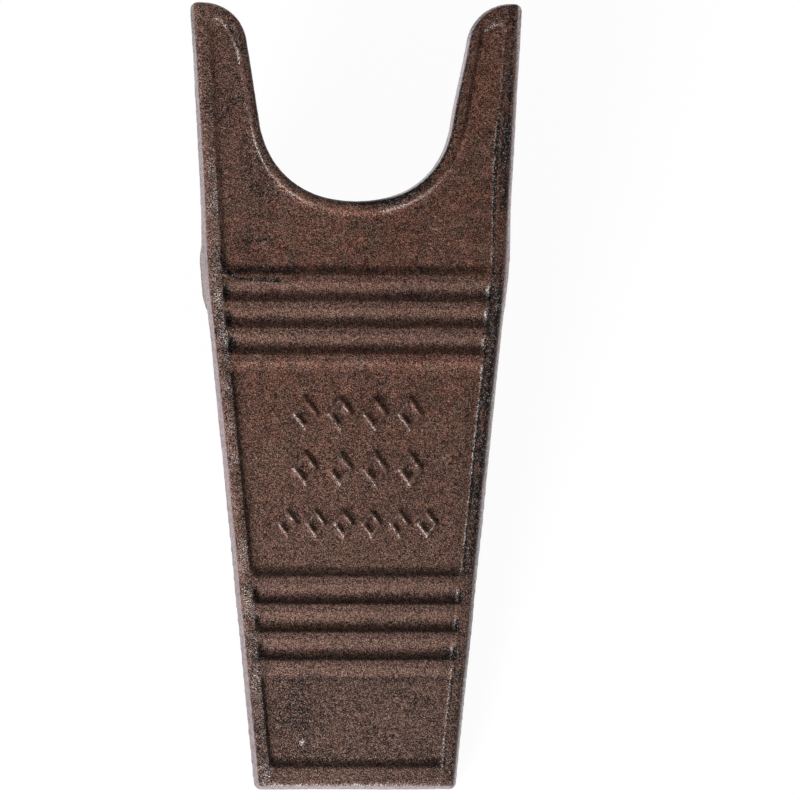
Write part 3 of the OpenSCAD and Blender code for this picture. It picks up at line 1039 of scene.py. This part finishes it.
    def sleek_and_reflection(self, points: np.ndarray, normals: np.ndarray) -> np.ndarray:
        """As on any casting, but duller at the tips, at the fork's bottom and on the right, where the painted
        reflection is also weaker near the tail and towards the top of the wall.

        Args:
            points: The points.
            normals: Normals there.

        Returns:
            Smoothness at each point.
        """
        x, y, z, side, fork, *_ = self.lay(points)
        tips = step(y, *self.TIPS)
        right_wall = fall(side, *self.OUTER_WALL) * (x > 0.0) * (1.0 - tips)
        # The painted reflection on the right wall fades towards its top
        fading = 1.0 - right_wall * np.interp(-z, [1.5, 3.5, 7.0], [0.75, 0.45, 0.0])
        dull = np.maximum(0.36 * band(y, 42.0, 76.0, 10.0) * (x > 0.0), 0.45 * tips)
        bottom = fall(fork, 1.0, 2.0) * band(x, -26.0, 12.0, 6.0)
        return super().sleek_and_reflection(points, normals) * (1.0 - np.maximum(dull, bottom)) * fading

    def wear_and_highlight(self, points: np.ndarray, normals: np.ndarray, edges: np.ndarray) -> np.ndarray:
        """Wear on edges, with painted highlights where they face the lamp at the left front and in dotted
        lines, and wear on the left rim and in one chip.

        Args:
            points: The points.
            normals: Normals there.
            edges: How far each point stands out on an edge, up to 1.

        Returns:
            Amount of wear and painted highlight at each point.
        """
        x, y, z, side, fork, *_ = self.lay(points)
        grooves = self.groove_bands(y)
        line = self.right_line(side, y)
        # How far an edge faces the lamp at the left front, for painted highlights
        facing_lamp = np.clip(-0.75 * normals[:, 0] - 0.65 * normals[:, 1], 0.0, 0.7)
        inside = np.where(x > 0.0, step(line, 0.2, 0.8), step(side, 3.6, 4.6)) * step(fork, 4.6, 5.6)
        lands = 1.0 - 0.6 * grooves * step(side, 8.0, 10.0)
        rubbed_and_lit = edges * (0.2 + 1.2 * facing_lamp) * lands * inside
        dotted = np.interp(y, [150.0, 184.0, 205.0, 232.0, 246.0, 256.0], [0.62, 0.5, 0.5, 0.4, 0.36, 0.22])
        salt = np.interp(y, [150.0, 154.0, 182.0, 186.0, 222.0, 238.0], [0.35, 0.45, 0.45, 0.35, 0.35, 0.1])
        placed = [
            # Painted highlights in lines round the fork and at the tips
            band(fork, 3.9, 4.5, 0.2) * fall(x, -18.0, -6.0) * band(y, 209.0, 240.0, 4.0) * 0.9,
            band(fork, 4.6, 5.2, 0.2) * (x < 0.0) * band(y, 238.0, 259.0, 2.0) * 0.47,
            band(fork, 4.0, 5.0, 0.3) * band(x, 6.0, 30.0, 5.0) * fall(y, 226.0, 236.0) * 0.9,
            stroke(x, y, self.LEFT_ARC, 0.2, 0.6) * 0.9,
            stroke(x, y, self.RIGHT_ARC, 0.3, 1.0) * 0.5,
            # Painted highlights in a dotted line along the panels' right walls, which face the lamp, with
            # hooks at the right ends of the grooves
            band(line, 0.35, 1.05, 0.25) * (x > 0.0) * (1.0 - grooves) * dotted,
            self.hooks(y) * band(side, 6.9, 7.9, 0.3) * (x > 0.0) * 0.95,
            # Salt on the left rim and a chip on the tail panel
            band(side, 2.6, 5.8, 0.6) * (x < 0.0) * salt,
            hump(x, -19.7, 0.8) * hump(y, 17.4, 1.0) * 1.6,
        ]
        return np.clip(np.maximum(rubbed_and_lit, np.max(placed, axis=0)) * (z > -2.5), 0.0, 1.6)


@dataclass
class Leg(Casting):
    """A leg under one shoulder."""

    triangles: int = 60_000

    def tone_and_painted_light(self, points: np.ndarray) -> np.ndarray:
        """Painted reflection: lighter at the root, most on the right."""
        x, _, z = points.T / MM
        return 1.0 + np.where(x > 0.0, 0.55, 0.35) * step(z, -13.0, -9.0)

    def sleek_and_reflection(self, points: np.ndarray, normals: np.ndarray) -> np.ndarray:
        """As on any casting, but duller, with less painted reflection, under the root."""
        return super().sleek_and_reflection(points, normals) * (1.0 - 0.45 * step(-points[:, 2] / MM, 11.0, 18.0))


@dataclass
class LegFasteners:
    """The two leg screws and their spring washers, seen from below in the legs.

    Attributes:
        stance: How the part stands.
        length: Length of a screw under its head.
        radius: Radius of the thread.
        pitch: Pitch of the thread.
        thread_depth: Depth of the thread.
        point: Width of the bevel at the screw's point.
        sides: Number of sides of the shank.
        head_radius: Radius of the head.
        head_height: Height of the head.
        flats: Width across the flats of the socket.
        socket: Depth of the socket.
        drill: Depth of the drill's cone under the socket.
        knurls: Number of knurls round the head.
        knurl: Depth of a knurl.
        bevel: Width of the head's bevels.
        ring: Radius at the middle of a washer's wire.
        wire: Width and thickness of that wire.
        wire_bevel: Width of the wire's bevels.
        split: Angle left open by a washer's split.
        rise: How far the ends of a washer stand apart.
        turns: Number of steps round a washer.
        sharp: Angle from which an edge stays sharp.
    """

    stance: Stance = Stance()
    length: float = 25.0 * MM
    radius: float = 3.0 * MM
    pitch: float = 1.0 * MM
    thread_depth: float = 0.6 * MM
    point: float = 0.8 * MM
    sides: int = 32
    head_radius: float = 5.0 * MM
    head_height: float = 6.0 * MM
    flats: float = 5.0 * MM
    socket: float = 3.0 * MM
    drill: float = 0.6 * MM
    knurls: int = 44
    knurl: float = 0.22 * MM
    bevel: float = 0.45 * MM
    ring: float = 4.0 * MM
    wire: tuple[float, float] = (1.6 * MM, 1.2 * MM)
    wire_bevel: float = 0.18 * MM
    split: float = math.radians(14)
    rise: float = 0.35 * MM
    turns: int = 60
    sharp: float = math.radians(38)

    def seats(self, node: str) -> list[Matrix]:
        """Places of the two solids of a node.

        Args:
            node: CAD node of two fasteners.

        Returns:
            A matrix for each one, on its axis and at its lowest point in the plate's frame.
        """
        to_plate = self.stance.to_plate()
        points = np.array([to_plate @ v.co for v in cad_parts[node].data.vertices])
        seats = []
        for half in (points[points[:, 0] < 0.0], points[points[:, 0] > 0.0]):
            low, high = half.min(0), half.max(0)
            middle = (low + high) / 2.0
            seats.append(self.stance.to_row() @ Matrix.Translation((middle[0], middle[1], low[2])))
        return seats

    @staticmethod
    def round_off(shape: bmesh.types.BMesh, edges: list[bmesh.types.BMEdge], width: float, steps: int) -> None:
        """Rounds off some edges of a shape, in a few steps."""
        bmesh.ops.bevel(
            shape, geom=edges, offset=width, segments=steps, profile=0.5, affect="EDGES", material=-1
        )

    def screw(self) -> bmesh.types.BMesh:
        """Makes a socket-head screw.

        Returns:
            The screw on the z axis, with the face of its head at z = 0.
        """
        shape = bmesh.new()
        ring = bmesh.ops.create_circle(shape, segments=2 * self.knurls, radius=self.head_radius)["verts"]
        for vert in ring[::2]:
            vert.co *= 1.0 - self.knurl / self.head_radius
        floor = bmesh.ops.contextual_create(shape, geom=ring)["faces"]
        top = bmesh.ops.extrude_face_region(shape, geom=floor)["geom"]
        raised = [e for e in top if isinstance(e, bmesh.types.BMVert)]
        bmesh.ops.translate(shape, verts=raised, vec=(0.0, 0.0, self.head_height))
        rims = [e for e in shape.edges if abs(e.verts[0].co.z - e.verts[1].co.z) < MERGE]
        self.round_off(shape, rims, self.bevel, 3)
        face = min((f for f in shape.faces if len(f.verts) > 6), key=lambda f: f.calc_center_median().z)
        bmesh.ops.delete(shape, geom=[face], context="FACES_ONLY")
        edge = [e for e in shape.edges if e.is_boundary]
        hexagon = bmesh.ops.create_circle(shape, segments=6, radius=self.flats / math.sqrt(3.0))["verts"]
        mouth = [e for e in shape.edges if e.verts[0] in hexagon and e.verts[1] in hexagon]
        bmesh.ops.triangle_fill(shape, edges=edge + mouth, use_beauty=True)
        walls = bmesh.ops.extrude_edge_only(shape, edges=mouth)["geom"]
        sunk = [e for e in walls if isinstance(e, bmesh.types.BMVert)]
        bmesh.ops.translate(shape, verts=sunk, vec=(0.0, 0.0, self.socket))
        bottom = bmesh.ops.contextual_create(shape, geom=sunk)["faces"]
        bmesh.ops.poke(shape, faces=bottom, offset=self.drill)
        self.thread(shape)
        bmesh.ops.recalc_face_normals(shape, faces=shape.faces)
        return shape

    def thread(self, shape: bmesh.types.BMesh) -> None:
        """Adds the threaded shank to a screw, from its head to its point.

        Args:
            shape: The screw's head.
        """
        places = [(0.0, self.head_height), (self.radius, self.head_height)]
        end = self.head_height + self.length
        for turn in range(int((self.length - 1.5 * self.pitch) / self.pitch)):
            z = self.head_height + (turn + 0.5) * self.pitch
            places += [(self.radius, z), (self.radius - self.thread_depth, z + 0.5 * self.pitch)]
        places += [(self.radius, end - self.pitch), (self.radius - self.point, end), (0.0, end)]
        verts = [shape.verts.new((x, 0.0, z)) for x, z in places]
        edges = [shape.edges.new(pair) for pair in zip(verts, verts[1:])]
        bmesh.ops.spin(
            shape, geom=verts + edges, cent=(0, 0, 0), axis=(0, 0, 1), dvec=(0, 0, 0),
            angle=2.0 * math.pi, steps=self.sides, use_merge=True, use_duplicate=False,
        )
        bmesh.ops.remove_doubles(shape, verts=shape.verts, dist=MERGE)

    def washer(self) -> bmesh.types.BMesh:
        """Makes a spring washer.

        Returns:
            The washer on the z axis, with its lowest point at z = 0.
        """
        shape = bmesh.new()
        section = bmesh.ops.create_grid(shape, x_segments=1, y_segments=1, size=0.5)
        width, depth = self.wire
        turn = Matrix.Rotation(math.pi / 2, 4, "X")
        place = Matrix.Translation((self.ring, 0.0, depth / 2))
        bmesh.ops.transform(
            shape, verts=section["verts"], matrix=place @ turn @ Matrix.Diagonal((width, depth, 1.0, 1.0))
        )
        bmesh.ops.spin(
            shape, geom=shape.faces[:], cent=(0, 0, 0), axis=(0, 0, 1), dvec=(0, 0, self.rise / self.turns),
            angle=2.0 * math.pi - self.split, steps=self.turns, use_merge=False, use_duplicate=False,
        )
        long_edges = [e for e in shape.edges if len(e.link_faces) == 2 and e.calc_face_angle() > 1.0]
        self.round_off(shape, long_edges, self.wire_bevel, 2)
        bmesh.ops.recalc_face_normals(shape, faces=shape.faces)
        return shape

    def build(self, kind: Fastener) -> bpy.types.Object:
        """Builds both fasteners of a kind as one piece.

        Args:
            kind: The kind.

        Returns:
            The finished object.
        """
        one = as_mesh(self.screw() if kind is Fastener.SCREWS else self.washer(), "one")
        pair = bmesh.new()
        for seat in self.seats(kind.value):
            copy = one.copy()
            copy.transform(seat)
            pair.from_mesh(copy)
            bpy.data.meshes.remove(copy)
        bpy.data.meshes.remove(one)
        mesh = as_mesh(pair, kind.value)
        mesh.shade_smooth()
        mesh.set_sharp_from_angle(angle=self.sharp)
        return add_object(f"plated_{kind.value}", mesh)

    def dress(self, piece: bpy.types.Object, node: str, material: bpy.types.Material) -> None:
        """Gives a pair of fasteners their finish and their place in the frame.

        Args:
            piece: The finished object.
            node: CAD node that it stands for.
            material: Its finish.
        """
        piece.data.materials.append(material)
        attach(piece, BODY)
        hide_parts(node)


@dataclass(frozen=True)
class Studio:
    """Floor, light and camera.

    Attributes:
        stance: How the part stands.
        aim: Point of the lying plate at the middle of the picture.
        lean: Angle by which the camera leans over to the plate's left side.
        roll: Angle by which the camera is turned about its line of sight.
        distance: Distance of the camera.
        reach: Distance up to which it sees.
        width: Width that the picture shows at its distance.
        key: Direction of the main lamp from the plate, in the plate's frame.
        key_power: Power of the main lamp.
        key_size: Side of the main lamp.
        fill: Direction of the low lamp behind the part, in the standing part's frame.
        fill_power: Power of that lamp.
        fill_size: Side of that lamp.
        lamp_aim: Point of the plate that both lamps face.
        lamp_distance: Distance of both lamps.
        ambient: Strength of the light from all round.
        overhead: Brightness of the studio overhead, as mirrored in the part.
        floor_half: Half of the floor's side.
        floor_grey: Colour of the floor.
        floor_white: Share of white in the floor that the camera sees.
        floor_glow: Strength of that white.
    """

    stance: Stance = Stance()
    aim: tuple[float, float, float] = (0.01495, 0.1388, 0.0)
    lean: float = math.radians(4.95)
    roll: float = math.radians(0.1)
    distance: float = 4.0
    reach: float = 20.0
    width: float = 0.2838
    key: tuple[float, float, float] = (-0.5, -0.73, 0.469)
    key_power: float = 22.5
    key_size: float = 0.45
    fill: tuple[float, float, float] = (0.55, 0.82, 0.13)
    fill_power: float = 9.0
    fill_size: float = 0.1
    lamp_aim: tuple[float, float, float] = (0.0, 0.14, 0.0)
    lamp_distance: float = 1.2
    ambient: float = 0.25
    overhead: float = 0.15
    floor_half: float = 6.0
    floor_grey: Colour = (0.86, 0.86, 0.86, 1.0)
    floor_white: float = 0.92
    floor_glow: float = 1.03

    def turned(self, direction: Vector, up: Vector, place: Vector) -> Matrix:
        """Matrix of a camera or lamp that looks along the negative of a direction.

        Args:
            direction: From the plate to the camera or lamp, in the plate's frame.
            up: Direction that is up in its picture.
            place: Where it stands, in the plate's frame.

        Returns:
            Its matrix in the part's frame.
        """
        back = direction.normalized()
        right = up.cross(back).normalized()
        turn = Matrix((right, back.cross(right), back)).transposed().to_4x4()
        return self.stance.to_row() @ Matrix.Translation(place) @ turn

    def add_camera(self) -> None:
        """Adds the camera."""
        data = bpy.data.cameras.new("camera")
        data.lens = data.sensor_width * self.distance / self.width
        data.clip_end = self.reach
        camera = add_object("camera", data)
        back = Vector((-math.sin(self.lean), 0.0, math.cos(self.lean)))
        up = Matrix.Rotation(self.roll, 3, back) @ Vector((0, 1, 0))
        camera.matrix_world = self.turned(back, up, Vector(self.aim) + back * self.distance)
        bpy.context.scene.camera = camera

    def add_lamp(self, name: str, direction: Vector, power: float, size: float) -> None:
        """Adds a square lamp that faces the middle of the plate.

        Args:
            name: Name of the lamp.
            direction: From the plate to the lamp, in the plate's frame.
            power: Power of the lamp.
            size: Side of the lamp.
        """
        data = bpy.data.lights.new(name, "AREA")
        data.energy = power
        data.size = size
        place = Vector(self.lamp_aim) + direction.normalized() * self.lamp_distance
        add_object(name, data).matrix_world = self.turned(direction, Vector((0, 0, 1)), place)

    def add_world(self) -> None:
        """Adds light from all round, with a white background."""
        world = bpy.data.worlds.new("studio")
        world.use_nodes = True
        bpy.context.scene.world = world
        wiring = Wiring(world.node_tree)
        toward = wiring.add("ShaderNodeTexCoord").outputs["Generated"]
        height = wiring.add("ShaderNodeSeparateXYZ", {"Vector": toward}).outputs["Z"]
        white = wiring.ease(height, 0.35, 0.8, 1.0, self.overhead)
        strength = wiring.ease(wiring.shown(1.0), 0.0, 1.0, self.ambient, white)
        wiring.feed(world.node_tree.nodes["Background"], {"Color": WHITE, "Strength": strength})

    def add_floor(self) -> None:
        """Adds the pale floor, which shows white, keeps a soft shadow and is clear from below."""
        shape = bmesh.new()
        bmesh.ops.create_grid(shape, x_segments=4, y_segments=4, size=self.floor_half)
        mesh = as_mesh(shape, "floor")
        floor = add_object("floor", mesh)
        material, wiring, shader = new_material("pale_floor")
        wiring.feed(shader, {"Base Color": self.floor_grey, "Roughness": 0.9, "Specular IOR Level": 0.1})
        white = wiring.add("ShaderNodeEmission", {"Color": WHITE, "Strength": self.floor_glow}).outputs[0]
        above = wiring.either(wiring.shown(self.floor_white), shader.outputs[0], white)
        below = wiring.add("ShaderNodeNewGeometry").outputs["Backfacing"]
        clear = wiring.add("ShaderNodeBsdfTransparent").outputs[0]
        surface = wiring.either(below, above, clear)
        wiring.feed(material.node_tree.nodes["Material Output"], {"Surface": surface})
        mesh.materials.append(material)

    def build(self) -> None:
        """Adds everything round the part."""
        bpy.context.scene.view_settings.view_transform = "Standard"
        self.add_camera()
        self.add_lamp("key", Vector(self.key), self.key_power, self.key_size)
        fill = self.stance.to_plate().to_3x3() @ Vector(self.fill)
        self.add_lamp("fill", fill, self.fill_power, self.fill_size)
        self.add_world()
        self.add_floor()


def main() -> None:
    """Builds the pieces in order."""
    logging.basicConfig(level=logging.INFO, format="%(name)s: %(message)s")
    stance = Stance()
    Studio(stance).build()
    effects = Effects.built()
    iron = AntiqueIron().material(effects)
    steel = ZincPlate().material(effects)
    for casting in (JackPlate(stance=stance), Leg("left_leg", stance), Leg("right_leg", stance)):
        piece = casting.build()
        casting.dress(piece, iron)
        LOG.info("%s: %d faces", piece.name, len(piece.data.polygons))
    fasteners = LegFasteners(stance)
    for kind in Fastener:
        piece = fasteners.build(kind)
        fasteners.dress(piece, kind.value, steel)
        LOG.info("%s: %d faces", piece.name, len(piece.data.polygons))


if __name__ == "__main__":
    main()
